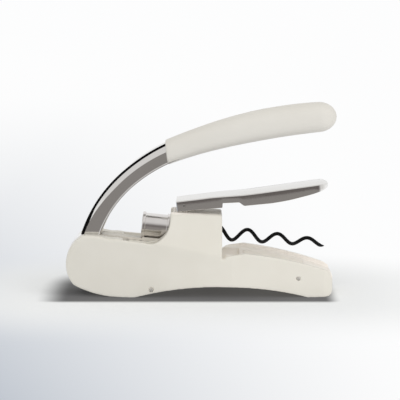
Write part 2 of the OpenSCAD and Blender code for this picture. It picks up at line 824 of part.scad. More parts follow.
module clamp_lever() {
  color(chrome) on_clamp() difference() {
    intersection() {
      across(-clamp_w, clamp_w) clamp_side_2d();
      translate([0, 0, -8]) linear_extrude(14) clamp_plan_2d(0);
    }
    translate([0, 0, -8]) linear_extrude(8 + 2.9 - clamp_sheet) intersection() {
      clamp_plan_2d(clamp_sheet + 0.1);
      translate([-10, -20]) square([clamp_len + 4, 40]);
    }
    translate([0, -20, 0]) rotate([-90, 0, 0])
      cylinder(h = 40, r = clamp_pin_d / 2 + run_fit);
    for (x = [39, 57]) translate([x, 0, -1]) cylinder(h = 8, r = 1.2);
  }
}

// Soft pad that grips the bottle neck
module clamp_pad() {
  top = 2.9 - clamp_sheet;
  w = clamp_w / 2 - clamp_sheet - 0.6;
  color(grey_rubber) on_clamp() difference() {
    across(-w, w) polygon([
      [33.6, top], [35.6, -2.6], [51.8, -2.8], [62, -1.7], [64, top]
    ]);
    translate([30, 0, -14]) rotate([0, 90, 0]) cylinder(h = 40, r = 12.6);
    for (x = [39, 57]) translate([x, 0, -6]) cylinder(h = 12, r = 1.2);
  }
}

module pad_rivets() {
  color(steel) on_clamp() for (x = [39, 57]) translate([x, 0, -0.4])
    cylinder(h = clamp_top(x - 1.2) + 0.4, r = 1.2);
}

near_shell();
far_shell();
guide_nut();
axle();
axle_washers();
body_pins();
shell_screws();
cradle_liner();
clamp_pin();
clamp_spring();
head_buffer();
lever_arm();
drive_gear();
gear_rivets();
grip();
grip_pins();
rack_bar();
drive_head();
head_cap();
head_screws();
thrust_washers();
worm();
worm_shank();
shank_clip();
clamp_lever();
clamp_pad();
pad_rivets();
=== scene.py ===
# %% [markdown]
# # A lever corkscrew, dressed for its portrait
#
# The solid model gives every part its place and size. This script leaves those places alone and gives
# each part the surface that the real thing has: a cream stove-enamelled body with soft edges, a bent
# chrome neck, a matt grip, a turned chrome head and a black non-stick worm. Everything is in metres, Z
# is up, and the tool looks along +X, so a number from the workshop drawing can be used as it is, times
# `MM`.

import math

import bmesh
import bpy
from mathutils import Matrix, Vector


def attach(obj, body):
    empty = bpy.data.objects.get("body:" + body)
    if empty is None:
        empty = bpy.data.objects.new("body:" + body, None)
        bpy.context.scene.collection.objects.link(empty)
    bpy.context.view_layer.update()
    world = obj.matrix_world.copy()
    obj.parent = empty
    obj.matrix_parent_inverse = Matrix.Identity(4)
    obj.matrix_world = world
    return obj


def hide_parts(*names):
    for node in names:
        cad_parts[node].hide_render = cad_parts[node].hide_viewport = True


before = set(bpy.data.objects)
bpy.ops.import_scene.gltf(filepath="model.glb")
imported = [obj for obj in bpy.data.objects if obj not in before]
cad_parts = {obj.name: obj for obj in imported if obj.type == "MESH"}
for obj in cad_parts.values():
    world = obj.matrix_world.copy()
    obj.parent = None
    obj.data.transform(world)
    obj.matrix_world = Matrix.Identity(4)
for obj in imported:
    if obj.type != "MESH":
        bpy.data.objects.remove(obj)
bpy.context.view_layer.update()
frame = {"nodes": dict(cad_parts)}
nodes = frame["nodes"]
MM = 0.001

# %% [markdown]
# ## Camera
#
# The tool is seen square on from its long side, from a little above. A long lens flattens the view, as
# a product photographer would have it: the far shell hides behind the near one and the sides keep their
# true proportions. The lens is pointed about halfway up the tool, at `aim`, so that the lever's arch
# fills the upper half.

# %% Camera
aim = Vector((-0.7, 0, 56)) * MM
rise = math.radians(8)
distance = 1.0
lens, sensor = 150, 36
back = Vector((0, -math.cos(rise), math.sin(rise)))
camera = bpy.data.objects.new("portrait_camera", bpy.data.cameras.new("portrait_camera"))
camera.data.lens = lens
camera.data.sensor_width = sensor
camera.location = aim + back * distance
camera.rotation_euler = (-back).to_track_quat("-Z", "Y").to_euler()
bpy.context.scene.collection.objects.link(camera)
bpy.context.scene.camera = camera
bpy.context.scene.view_settings.view_transform = "Standard"
print("camera at", [round(c, 3) for c in camera.location])

# %% [markdown]
# ## Shader maths as plain expressions
#
# A node tree is easier to read when its sums look like sums. `Socket` wraps one output of a node, and
# each operator on it adds a Math node, so `0.4 + speckle * 0.1` is a finished piece of a shader. `Nodes`
# holds one tree, of a material or of the world. Its `node` method makes every node: the type, then the
# settings, then what goes into the sockets, by name or by number.


# %% Socket and Nodes
class Socket:
    def __init__(self, nodes, output):
        self.nodes, self.output = nodes, output

    def math(self, operation, *others):
        return self.nodes.node("Math", {"operation": operation}, dict(enumerate((self, *others))))

    def __add__(self, other):
        return self.math("ADD", other)

    def __sub__(self, other):
        return self.math("SUBTRACT", other)

    def __mul__(self, other):
        return self.math("MULTIPLY", other)

    def __truediv__(self, other):
        return self.math("DIVIDE", other)

    def __rsub__(self, other):
        return self.nodes.node("Math", {"operation": "SUBTRACT"}, {0: other, 1: self})

    __radd__, __rmul__ = __add__, __mul__

    def ramp(self, low, high):
        """0 below low, 1 above high, and a soft step between them."""
        return self.nodes.node(
            "MapRange",
            {"interpolation_type": "SMOOTHSTEP"},
            {"Value": self, "From Min": low, "From Max": high},
        )


class Nodes:
    def __init__(self, owner):
        owner.use_nodes = True
        self.tree = owner.node_tree
        self.tree.nodes.clear()

    def plug(self, place, value):
        if isinstance(value, Socket):
            self.tree.links.new(value.output, place)
        else:
            place.default_value = value

    def node(self, kind, settings=None, sockets=None, output=0):
        """Any node, by its type without the word ShaderNode."""
        made = self.tree.nodes.new("ShaderNode" + kind)
        for name, value in (settings or {}).items():
            setattr(made, name, value)
        for name, value in (sockets or {}).items():
            self.plug(made.inputs[name], value)
        return Socket(self, made.outputs[output]) if made.outputs else None

    def mix(self, share, first, second):
        """Mixes two colours: first where share is 0, second where it is 1."""
        return self.node("Mix", {"data_type": "RGBA"}, {0: share, 6: first, 7: second}, output=2)

    def split(self, vector):
        made = self.tree.nodes.new("ShaderNodeSeparateXYZ")
        self.plug(made.inputs[0], vector)
        return [Socket(self, place) for place in made.outputs]

    def place(self):
        """Each point's place in the part's own space, in metres."""
        return self.node("TexCoord", output="Object")

    def noise(self, scale, detail=3.0, stretch=(1, 1, 1)):
        at = self.node("Mapping", {"vector_type": "POINT"}, {"Vector": self.place(), "Scale": stretch})
        return self.node("TexNoise", {}, {"Vector": at, "Scale": scale, "Detail": detail, "Roughness": 0.55})

    def bump(self, height, depth, strength=1.0):
        return self.node("Bump", {}, {"Height": height, "Distance": depth, "Strength": strength})


def material(name):
    made = bpy.data.materials.new(name)
    return made, Nodes(made)


def surface(n, sockets):
    n.node("OutputMaterial", {}, {"Surface": n.node("BsdfPrincipled", {}, sockets)})


print("shader helpers ready")

# %% [markdown]
# ## Floor
#
# A pale floor runs out of sight behind the tool, so no horizon shows. Close to the tool it is ordinary
# matt paint that takes the tool's shadow, with a soft contact shade painted round the foot. The shade
# reaches further to the left and behind, away from the key lamp.
#
# Further out the floor turns, for rays that come straight from the lens, through glass or from a mirror,
# into a flat near-white, which is how a white background stays white without pouring more light on the
# tool. On the left that near-white is painted down to a cool grey fall-off, which is painted shade. The floor
# also glows with most of that near-white for rays that bounce off the tool's matt sides, which lights the
# tool's underside, so the painted shade doesn't blacken it.
#
# Chrome needs something dark to reflect, or it looks like paper. A photographer stands grey cards in
# front of the set. Here the floor on that side is grey instead, for mirrors only.

# %% Floor sheet
floor_reach = 14
floor_mesh = bpy.data.meshes.new("studio_floor")
floor_corners = [(-floor_reach, -floor_reach, 0), (floor_reach, -floor_reach, 0)]
floor_corners += [(floor_reach, floor_reach, 0), (-floor_reach, floor_reach, 0)]
floor_mesh.from_pydata(floor_corners, [], [(0, 1, 2, 3)])
floor = bpy.data.objects.new("studio_floor", floor_mesh)
bpy.context.scene.collection.objects.link(floor)
print("floor", 2 * floor_reach, "m square")


# %% Distances on the floor
def past(distance):
    """How far beyond an edge a point lies, and 0 inside it."""
    return distance.math("MAXIMUM", 0.0)


def length(a, b):
    return (a * a + b * b).math("SQRT")


foot_left, foot_right, foot_front, foot_back = -0.079, 0.073, -0.027, 0.02
paint, n = material("studio_floor_paint")
x, y, _ = n.split(n.place())
left, right = past(foot_left - x), past(x - foot_right)
ahead, behind = past(foot_front - y), past(y - foot_back)
reach = length(x, y)
clear = length(left + right, ahead + behind)
print("foot", round(foot_right - foot_left, 3), "by", round(foot_back - foot_front, 3), "m")

# %% Floor paint
white, cool_grey, card_grey = (1, 1, 1, 1), (0.50, 0.54, 0.60, 1), (0.265, 0.25, 0.238, 1)
bare_paint, shaded_paint = (0.97, 0.985, 1.0, 1), (0.185, 0.185, 0.19, 1)
brightest, darkest_fall, screen_gamma = 0.992, 0.4, 2.2
fade_from, fade_over, fade_curve = 0.11, 0.27, 1.5
thins_over, fade_beside, fade_behind = 0.33, 0.141, 0.0235
greyest, bounce_glow_share = 0.46, 0.7

mirror_ray = n.node("LightPath", output="Is Glossy Ray")
lens_ray = n.node("LightPath", output="Is Camera Ray") + n.node("LightPath", output="Is Transmission Ray")
far = clear.ramp(0.015, 0.12)
# Painted shade on the backdrop: the near-white is painted down to a cool grey towards the left, most of all in
# front.
leftward = past((fade_from - x) / fade_over).math("MINIMUM", 1.0).math("POWER", fade_curve)
nearness = (0 - y / thins_over).math("EXPONENT") * fade_beside + fade_behind * (1 - y.ramp(0.2, 1.6))
light = (brightest - leftward * nearness.math("MINIMUM", darkest_fall)).math("POWER", screen_gamma)
pale = n.mix((1 - light) / greyest, white, cool_grey)
in_front = (0 - y / (reach + 0.001)).ramp(0.45, 0.8) * reach.ramp(0.035, 0.09)
seen = n.mix(in_front * mirror_ray, pale, card_grey)

contact = length(left * 0.6 + right * 1.2, ahead * 1.5 + behind * 0.25).ramp(0.0, 0.012)
matt = n.node("BsdfDiffuse", {}, {"Color": n.mix(contact, shaded_paint, bare_paint)})
glow = n.node("Emission", {}, {"Color": seen})
# The floor glows for rays that bounce off the tool: painted light that lifts the tool's underside.
bounce_glow = n.node("LightPath", output="Is Diffuse Ray") * bounce_glow_share
share = (lens_ray * far + mirror_ray * far.math("MAXIMUM", in_front) + bounce_glow).math("MINIMUM", 1.0)
n.node("OutputMaterial", {}, {"Surface": n.node("MixShader", {}, {0: share, 1: matt, 2: glow})})
floor_mesh.materials.append(paint)
print("floor paint:", len(n.tree.nodes), "nodes")

# %% [markdown]
# ## Sky and lamps
#
# An even, slightly warm sky lights the tool from all round, and two large soft lamps give it a bright
# side: the key from the right and above, the fill from low in front. Neither lamp shows in the chrome.
# What the chrome does show is a second sky: bright behind, a little dimmer in front, and dark low down
# in front, where the grey cards would stand.

# %% Sky
ambient_low, ambient_high = (0.735, 0.735, 0.74, 1), (0.735, 0.73, 0.71, 1)
mirror_behind, mirror_ahead = (0.88, 0.88, 0.875, 1), (0.74, 0.73, 0.72, 1)
mirror_card, backdrop = (0.135, 0.12, 0.115, 1), (0.985, 0.985, 0.985, 1)

sky = bpy.data.worlds.new("studio_sky")
bpy.context.scene.world = sky
n = Nodes(sky)
_, dy, dz = n.split(n.node("TexCoord", output="Generated"))
front = (0 - dy).ramp(-0.1, 0.35)
low_in_front = (1 - dz.ramp(0.12, 0.66)) * (0 - dy).ramp(0.5, 0.8)
ambient = n.mix(dz.ramp(-0.2, 0.9), ambient_low, ambient_high)
mirrored = n.mix(low_in_front, n.mix(front, mirror_behind, mirror_ahead), mirror_card)
seen = n.mix(n.node("LightPath", output="Is Glossy Ray"), ambient, mirrored)
seen = n.mix(n.node("LightPath", output="Is Camera Ray"), seen, backdrop)
n.node("OutputWorld", {}, {"Surface": n.node("Background", {}, {"Color": seen, "Strength": 1.0})})
print("sky:", len(n.tree.nodes), "nodes")


# %% Lamps
def soft_lamp(name, at, size, watts):
    lamp = bpy.data.lights.new(name, "AREA")
    lamp.shape, lamp.size, lamp.energy = "DISK", size, watts
    shown = bpy.data.objects.new(name, lamp)
    shown.location = at
    shown.rotation_euler = (aim - Vector(at)).to_track_quat("-Z", "Y").to_euler()
    shown.visible_glossy = False
    bpy.context.scene.collection.objects.link(shown)
    print(name, watts, "W")


soft_lamp("key_lamp", (0.75, -0.6, 0.75), 0.8, 2.2)
soft_lamp("fill_lamp", (-0.15, -1.1, 0.5), 0.9, 2.3)

# %% [markdown]
# ## Finishes
#
# Each finish is built once and used on every part that shares it. They are all worked out from the
# part's own space, so the grain stays put when the lever swings.
#
# ** Cream enamel.** A sprayed and stoved coat on a casting. It is nearly one colour, with a slow drift of
# a percent or two where the coat is thicker, a faint ripple known as orange peel, and a slightly paler
# line where the coat pulls thin over an edge. `Pointiness` finds those edges on a finely divided mesh, and the
# hollows, which get a little painted shade.
#
# Inside the mouth, and on the brow on top of the tower, the enamel is painted paler, as painted light that
# lifts the shade there. Both are masks on the place: the first is the room between the mouth's walls, which
# lean in a little towards the front, and `brow` is all that lies above the tower's edge.


# %% Cream enamel
def enamel(name, thick, thin, edge, painted_light_share=0.0):
    made, n = material(name)
    drift = n.noise(45, 2.0).ramp(0.3, 0.7)
    worn = n.node("NewGeometry", output="Pointiness").ramp(0.515, 0.58)
    # Painted shade: the hollows that Pointiness finds are darkened a little.
    hollow = 1 - n.node("NewGeometry", output="Pointiness").ramp(0.42, 0.485)
    hollow_painted_shade = (*(c * 0.93 for c in thick[:3]), 1)
    colour = n.mix(drift, thick, thin)
    colour = n.mix(worn * 0.35, colour, edge)
    colour = n.mix(hollow * 0.3, colour, hollow_painted_shade)

    x, y, z = n.split(n.place())
    widest_at, wall_lean = 0.018, 0.1
    off_middle = y.math("ABSOLUTE") + (x - widest_at) * wall_lean
    mouth_painted_light = (1 - off_middle.ramp(0.0195, 0.0203)) * x.ramp(0.012, 0.014) * z.ramp(0.010, 0.013)
    brow = z.ramp(0.0488, 0.0497)
    # Painted light: the mouth and the brow are lifted to a paler cream, where they lie in shade.
    colour = n.mix(mouth_painted_light.math("MAXIMUM", brow) * painted_light_share, colour, (0.96, 0.905, 0.835, 1))

    peel = n.noise(900, 2.0)
    grain = n.noise(5200, 2.0)
    surface(n, {
        "Base Color": colour,
        "Roughness": 0.36 + drift * 0.07 + grain * 0.06,
        "Normal": n.bump(peel * 0.7 + grain * 0.3, 0.00002, 0.5),
        "IOR": 1.48,
    })
    print(name, "with", len(n.tree.nodes), "nodes")
    return made


cream = enamel("cream_enamel", (0.785, 0.752, 0.672, 1), (0.805, 0.774, 0.697, 1), (0.86, 0.84, 0.79, 1), 1.0)
# A darker, browner copy of the cream enamel: painted shade for the rack bar, which lies low in the deck.
shade = enamel("cream_bar_painted_shade", (0.725, 0.680, 0.600, 1), (0.745, 0.702, 0.625, 1), (0.80, 0.77, 0.71, 1))

# %% [markdown]
# **Grip skin, cradle liner and black rubber.** All three are moulded elastomer. A matt moulding has a
# fine spark-eroded grain instead of a ripple, hardly any gloss, and a bloom of sheen at glancing angles.
# The places that a palm polishes are a touch smoother, which the slow noise in the roughness stands for.


# %% Moulded skins
def moulded(name, colour, deep, rough, grain_size, sheen):
    made, n = material(name)
    cloud = n.noise(38, 3.0).ramp(0.3, 0.72)
    grain = n.noise(grain_size, 3.0)
    surface(n, {
        "Base Color": n.mix(cloud * 0.7 + grain * 0.3, colour, deep),
        "Roughness": rough + cloud * 0.07 - grain * 0.05,
        "Normal": n.bump(grain, 0.00004, 0.6),
        "Sheen Weight": sheen,
        "Sheen Roughness": 0.5,
        "IOR": 1.45,
    })
    print(name, "with", len(n.tree.nodes), "nodes")
    return made


grip_skin = moulded("grip_skin", (0.770, 0.745, 0.690, 1), (0.750, 0.722, 0.665, 1), 0.56, 2600, 0.06)
# The liner is as pale as the lightened mouth round it: painted light that lifts the shade in the cradle.
liner_painted_light = moulded("liner_painted_light", (0.95, 0.90, 0.82, 1), (0.93, 0.875, 0.79, 1), 0.62, 2200, 0.05)
dark_rubber = moulded("dark_rubber", (0.055, 0.055, 0.056, 1), (0.04, 0.04, 0.041, 1), 0.6, 1800, 0.04)

# %% [markdown]
# **Chrome and bare steel.** Metal has no colour of its own under the gloss: its base colour is what it
# mirrors back. Plated parts are bright with the last fine lines of the polishing belt left in them, so
# the bump is stretched into streaks along the belt's run. Turned steel is duller, and its lines run
# round the bar. The ends of the body pins are satin: pale, with hardly any shine.


# %% Metals
def metal(name, colour, tint, rough, streak, lines, depth):
    made, n = material(name)
    belt = n.noise(lines, 2.0, streak)
    smudge = n.noise(70, 3.0).ramp(0.42, 0.75)
    surface(n, {
        "Base Color": n.mix(smudge * 0.5 + belt * 0.3, colour, tint),
        "Metallic": 1.0,
        "Roughness": rough + belt * 0.06 + smudge * 0.05,
        "Normal": n.bump(belt, depth, 0.35),
    })
    print(name, "with", len(n.tree.nodes), "nodes")
    return made


along_belt, round_barrel, round_bar = (0.06, 1, 1), (1, 0.2, 0.2), (1, 0.3, 0.3)
chrome = metal(
    "bright_chrome", (0.84, 0.83, 0.815, 1), (0.80, 0.79, 0.775, 1), 0.06, along_belt, 2600, 0.000004
)
barrel_chrome = metal(
    "barrel_chrome", (0.85, 0.825, 0.815, 1), (0.80, 0.775, 0.765, 1), 0.17, round_barrel, 2400, 0.000006
)
satin = metal("satin_steel", (0.93, 0.91, 0.87, 1), (0.87, 0.85, 0.81, 1), 0.7, round_bar, 2200, 0.00001)
steel = metal("turned_steel", (0.56, 0.55, 0.53, 1), (0.50, 0.49, 0.47, 1), 0.24, round_bar, 2200, 0.00001)

# %% [markdown]
# ** Black coats.** The worm is dipped in a non-stick coat: almost black, half matt, a little uneven, and
# rubbed to a softer shine where it rides through the cork. The seam sunk along the neck is painted the
# same black, but dead matt: painted shade for the groove, which no light gets out of.

# %% Black coats
worm_coat, n = material("worm_coat")
dapple = n.noise(650, 4.0)
rubbed = n.noise(120, 2.0).ramp(0.5, 0.8)
surface(n, {
    "Base Color": n.mix(rubbed, (0.005, 0.005, 0.0055, 1), (0.010, 0.010, 0.0105, 1)),
    "Roughness": 0.42 + dapple * 0.14 - rubbed * 0.08,
    "Normal": n.bump(dapple, 0.00003, 0.5),
    "Specular IOR Level": 0.12,
})

seam_painted_shade, n = material("seam_painted_shade")
dust = n.noise(400, 3.0).ramp(0.55, 0.8)
surface(n, {
    "Base Color": n.mix(dust, (0.003, 0.003, 0.003, 1), (0.008, 0.008, 0.008, 1)),
    "Roughness": 0.75 + dust * 0.1,
    "Specular IOR Level": 0.1,
})
print("black coats:", worm_coat.name, seam_painted_shade.name)

# %% [markdown]
# ## Mesh helpers
#
# Nearly every part here is one of three things: a profile turned on a lathe, a section drawn along a
# path, or a casting. `skin` joins rings of points into a surface, which covers the first two. The frames
# below turn workshop numbers into places: along the worm's axis, along the clamp lever, and in the side
# view.

# %% Frames of the tool
hub = Vector((-61, 19.5))
hinge = Vector((hub.x, 0, hub.y)) * MM
axis_rise, axis_tilt = 24, 5.8
worm_axis = (
    Matrix.Translation(hinge)
    @ Matrix.Rotation(math.radians(axis_tilt), 4, "Y")
    @ Matrix.Translation((0, 0, axis_rise * MM))
)
clamp_pin = Vector((-10.1, 0, 54.2)) * MM
clamp_tilt = -6.5
clamp_frame = Matrix.Translation(clamp_pin) @ Matrix.Rotation(math.radians(clamp_tilt), 4, "Y")


def in_frame(matrix, x, y, z):
    return matrix @ (Vector((x, y, z)) * MM)


def off_side(flat, y):
    """A point of the side view, moved y off the middle plane."""
    return Vector((flat[0], y, flat[1])) * MM


print("worm axis starts at", [round(c / MM, 1) for c in worm_axis.translation], "mm")


# %% Skins, lathes and wires
def skin(mesh, rows, caps=True):
    """Faces between rings of points. caps closes the first ring and the last."""
    made = [[mesh.verts.new(p) for p in row] for row in rows]
    count = len(rows[0])
    for a, b in zip(made, made[1:]):
        for i in range(count):
            j = (i + 1) % count
            mesh.faces.new((a[i], b[i], b[j], a[j]))
    if caps:
        mesh.faces.new(made[0])
        mesh.faces.new(made[-1][::-1])


def lathe(mesh, matrix, profile, sides=96):
    """Turns (along, radius) points about the frame's x axis. A radius of 0 closes the end."""
    turns = [2 * math.pi * i / sides for i in range(sides)]
    rows = []
    for along, radius in profile:
        r = max(radius, 1e-3)
        rows.append([in_frame(matrix, along, r * math.cos(t), r * math.sin(t)) for t in turns])
    skin(mesh, rows)


def wire(mesh, path, radii, sides=16):
    """A round wire through points in metres, each with its own radius in metres."""
    turns = [2 * math.pi * i / sides for i in range(sides)]
    rows = []
    side = Vector((0, 1, 0))
    for i, (centre, radius) in enumerate(zip(path, radii)):
        along = (path[min(i + 1, len(path) - 1)] - path[max(i - 1, 0)]).normalized()
        side = (side - along * side.dot(along)).normalized()
        other = along.cross(side)
        rows.append([centre + (side * math.cos(t) + other * math.sin(t)) * radius for t in turns])
    skin(mesh, rows)


print("skin, lathe and wire ready")


# %% Finishing and placing a piece
def finish_mesh(name, mesh, finishes, sharp):
    """Makes an object of the mesh. Edges over sharp degrees stay crisp, and the rest are shaded smooth."""
    bmesh.ops.remove_doubles(mesh, verts=mesh.verts, dist=1e-7)
    bmesh.ops.recalc_face_normals(mesh, faces=mesh.faces)
    data = bpy.data.meshes.new(name)
    mesh.to_mesh(data)
    mesh.free()
    data.shade_smooth()
    data.set_sharp_from_angle(angle=math.radians(sharp))
    for finish in finishes:
        data.materials.append(finish)
    made = bpy.data.objects.new(name, data)
    bpy.context.scene.collection.objects.link(made)
    return made


def place(piece, body, slot, *stands_for):
    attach(piece, body)
    if stands_for:
        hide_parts(*stands_for)
    print(piece.name, "on", body, len(piece.data.vertices), "points")


# %% [markdown]
# ## The two body shells
#
# On the real tool each half is a casting: every outside edge is rounded, most of all along the deck where
# the hand goes, while the split between the halves and the machined mouth stay crisp. Bevels would need
# hundreds of clean edges. It is simpler to do what fettling does: wrap the model in a fine even skin, then
# rub the edges down. A voxel Remesh gives the skin, and a Smooth modifier, weighted by where on the body
# each point lies, does the rubbing.
#
# `step` is the same soft step as a ramp, for plain numbers. Each zone of the body is a product of steps in
# millimetres, and the zones are laid over one another from the gentlest to the strictest.


# %% Where the file went
def step(value, low, high):
    t = min(1.0, max(0.0, (value - low) / (high - low)))
    return t * t * (3 - 2 * t)


def rubbing(p):
    """How far the file went at a point of the body, from 0 to 1."""
    x, y, z = p.x / MM, abs(p.y) / MM, p.z / MM

    # Over the whole body: the hump round the hub most, the outer sides a little.
    hump = step(z, 24, 29) * (1 - step(x, -50, -44)) * step(y, 7.5, 9.5)
    outside = 0.34 * step(y, 9.5, 12)
    much = max(hump, outside)

    # The deck beside the rack bar keeps a firmer rim.
    deck = step(x, -50, -46) * (1 - step(x, -26, -20)) * step(z, 24, 28)
    much = much * (1 - deck) + 0.3 * step(y, 8.8, 12.5) * deck

    # The tower is crisp, apart from the brow on its top.
    tower = step(x, -24, -18) * (1 - step(x, 12.5, 14.5)) * step(z, 34, 44)
    brow = step(z, 45, 47.5) * step(y, 7, 9)
    much = much * (1 - tower) + (0.07 + 0.9 * brow) * tower

    # The machined mouth and everything inside are left almost as they are.
    mouth = step(x, 11, 13)
    much = much * (1 - mouth) + (0.16 * step(y, 14, 16.5) + 0.05) * mouth
    inside = 1 - step(y, 8.6, 10)
    much = much * (1 - inside) + 0.03 * inside

    # Two hollows flow into the surfaces beside them: at the tower's foot, and where the mouth begins.
    crease = step(z, 21, 25) * (1 - step(z, 32, 36)) * step(x, -28, -22) * (1 - step(x, 9, 12))
    fold = (1 - step(abs(x - 18), 4, 9)) * (1 - step(z, 25, 28)) * step(z, 9, 12)
    much = max(much, crease * step(y, 11, 13), fold * step(y, 15, 17))

    # The split between the halves stays sharp.
    return much * step(y, 0.5, 2.5)


print("rubbing on the hump:", round(rubbing(Vector((-70, 15, 32)) * MM), 2))


# %% [markdown]
# The deck has a rim on each side of the rack bar, which stands a millimetre higher than in the solid model.
# It is raised last, on the finished skin, with a mask that fades out at both ends.


# %% Two castings
def evaluated(piece):
    """Turns what a piece's modifiers make into its own mesh."""
    graph = bpy.context.evaluated_depsgraph_get()
    fresh = bpy.data.meshes.new_from_object(piece.evaluated_get(graph))
    piece.modifiers.clear()
    piece.data = fresh
    return fresh


def rim_share(p):
    """1 along the deck's rim and 0 elsewhere."""
    x, y, z = p.x / MM, abs(p.y) / MM, p.z / MM
    return step(x, -56, -49) * (1 - step(x, -34, -28)) * step(y, 8, 9) * step(z, 26, 31)


def cast_shell(name, cad_name):
    voxel, rim_lift = 0.5 * MM, 1 * MM
    rub_passes, settle_passes = 34, 2

    piece = bpy.data.objects.new(name, nodes[cad_name].data.copy())
    bpy.context.scene.collection.objects.link(piece)
    wrap = piece.modifiers.new("even_skin", "REMESH")
    wrap.mode, wrap.voxel_size, wrap.use_smooth_shade = "VOXEL", voxel, True
    fresh = evaluated(piece)

    group = piece.vertex_groups.new(name="rubbed")
    for v in fresh.vertices:
        group.add([v.index], rubbing(v.co), "REPLACE")
    rub = piece.modifiers.new("rubbed_edges", "SMOOTH")
    rub.factor, rub.iterations, rub.vertex_group = 0.5, rub_passes, "rubbed"
    settle = piece.modifiers.new("settled", "SMOOTH")
    settle.factor, settle.iterations = 0.5, settle_passes
    fresh = evaluated(piece)

    for v in fresh.vertices:
        v.co.z += rim_lift * rim_share(v.co)
    fresh.materials.clear()
    fresh.materials.append(cream)
    fresh.shade_smooth()
    place(piece, "root", "enamel", cad_name)


cast_shell("near_shell_skin", "near_shell")
cast_shell("far_shell_skin", "far_shell")

# %% [markdown]
# ## The bent neck
#
# The neck is a steel channel, open on the inside of the curve, bent to two radii that meet smoothly. Its
# section is drawn once, as depth below the outer bend and distance from the middle, and swept along the
# bends. Sweeping real points, rather than smoothing a rough form, keeps the reflections clean, and chrome
# shows every dent.

# %% Bends of the neck
low_radius, high_radius = 83.1, 104.1
neck_from, bends_meet, neck_to = 172, 133, 112.6
neck_foot, foot_angle = Vector((-74.24, 27.63)), 170
low_steps, high_steps = 26, 22


def on_circle(centre, radius, angle):
    t = math.radians(angle)
    return Vector((centre[0] + radius * math.cos(t), centre[1] + radius * math.sin(t)))


low_centre = neck_foot - on_circle((0, 0), low_radius, foot_angle)
high_centre = low_centre - on_circle((0, 0), high_radius - low_radius, bends_meet)


def neck_stations():
    """(centre, outer radius, angle) from the hinge to the grip."""
    low = [
        (low_centre, low_radius, neck_from - (neck_from - bends_meet) * i / low_steps)
        for i in range(low_steps)
    ]
    high = [
        (high_centre, high_radius, bends_meet - (bends_meet - neck_to) * i / high_steps)
        for i in range(high_steps + 1)
    ]
    return low + high


print("bends about", [round(c, 1) for c in low_centre], "and", [round(c, 1) for c in high_centre])

# %% [markdown]
# Between the outer face and the side there is a flat chamfer that grows from the hinge to the grip. Where it
# meets the face, a thin seam is sunk into the metal, and its faces are painted black, as painted shade. The
# face itself sinks a little below the bend on the way up. Each side ends in a small raised bead, which catches
# a line of light along the inner edge.


# %% Section of the neck
neck_half, neck_sheet = 7.7, 2.2
bead, bead_slope = 0.35, 0.45


def neck_section(share):
    """(depth, y, shaded) round the near half of the section, for a share of the way to the grip; shaded marks
    the seam's painted shade.
    """
    face = max(0.0, 1.85 * math.sin(math.pi / 2 * min(1.0, share / 0.75)) - 0.1)
    flat = neck_half - 2.0 - 0.3 * share
    seam = face + 1.45
    bevel = 2.0 + 2.2 * share + 2.4 * step(share, 0.12, 0.5)
    lip = 9.8 + 2.8 * share
    deep = max(11.7 + 2.1 * share**2, lip + 1.1)
    within, below = neck_half - neck_sheet, face + neck_sheet

    outer_face = [(face, 0.0, 0), (face, flat, 0)]
    sunk_seam = [(face + 0.3, flat - 0.1, 1), (seam, flat + 0.1, 1), (seam - 0.05, flat + 0.4, 0)]
    side = [(bevel, neck_half, 0), (lip, neck_half, 0)]
    raised_bead = [
        (lip + bead_slope, neck_half + bead, 0), (lip + 2 * bead_slope, neck_half + bead, 0),
        (deep, neck_half - 0.6, 0),
    ]
    channel = [
        (deep, within, 0), (below + 1.2, within, 0), (below + 0.3, within - 0.5, 0), (below, within - 1.4, 0),
        (below, 0.0, 0),
    ]
    return outer_face + sunk_seam + side + raised_bead + channel


print("the section has", len(neck_section(0)), "points a side")

# %% Sweep of the neck
mesh = bmesh.new()
stations = neck_stations()
rows = []
for i, (centre, radius, angle) in enumerate(stations):
    half = neck_section(i / (len(stations) - 1))
    ring = [(d, -y, b) for d, y, b in half] + [(d, y, b) for d, y, b in half[-2:0:-1]]
    rows.append([off_side(on_circle(centre, radius - d, angle), y) for d, y, _ in ring])
    seam_shade_flags = [b for _, _, b in ring]
skin(mesh, rows)

mesh.faces.ensure_lookup_table()
# Faces along the seam take the second finish: black, as painted shade.
count = len(seam_shade_flags)
for face_index in range((len(rows) - 1) * count):
    i = face_index % count
    if seam_shade_flags[i] or seam_shade_flags[(i + 1) % count]:
        mesh.faces[face_index].material_index = 1
print("neck:", len(rows), "rings of", count, "points")

# %% [markdown]
# The neck ends in two round cheeks that turn on the hinge, and a rim that closes the back of the hub. They
# are added to the same mesh, so the lever stays one piece. The cheeks stay just below the deck's rim.

# %% Hub cheeks and rim
bore, cheek, cheek_sides = 3.06, 15.3, 96
for side in (-1, 1):
    inner, outer = side * (neck_half - neck_sheet), side * neck_half
    outline = [
        (bore, inner), (bore, outer), (cheek - 0.5, outer), (cheek, outer - side * 0.4),
        (cheek, inner + side * 0.3), (cheek - 0.4, inner), (bore, inner),
    ]
    turns = [360 * i / cheek_sides for i in range(cheek_sides)]
    skin(mesh, [[off_side(on_circle(hub, r, turn), y) for turn in turns] for r, y in outline], caps=False)

rim, rim_root, rim_from, rim_sweep, rim_steps = 19.8, 12.0, 121, 62, 24
within = neck_half - neck_sheet
ring = [
    (rim - 0.5, -neck_half), (rim, -neck_half + 0.6), (rim, neck_half - 0.6), (rim - 0.5, neck_half),
    (rim_root, neck_half), (rim_root, within), (rim - neck_sheet, within), (rim - neck_sheet, -within),
    (rim_root, -within), (rim_root, -neck_half),
]
skin(mesh, [
    [off_side(on_circle(hub, r, rim_from + rim_sweep * i / rim_steps), y) for r, y in ring]
    for i in range(rim_steps + 1)
])
place(finish_mesh("neck_skin", mesh, [chrome, seam_painted_shade], 24), "lever", "chrome", "lever_arm")

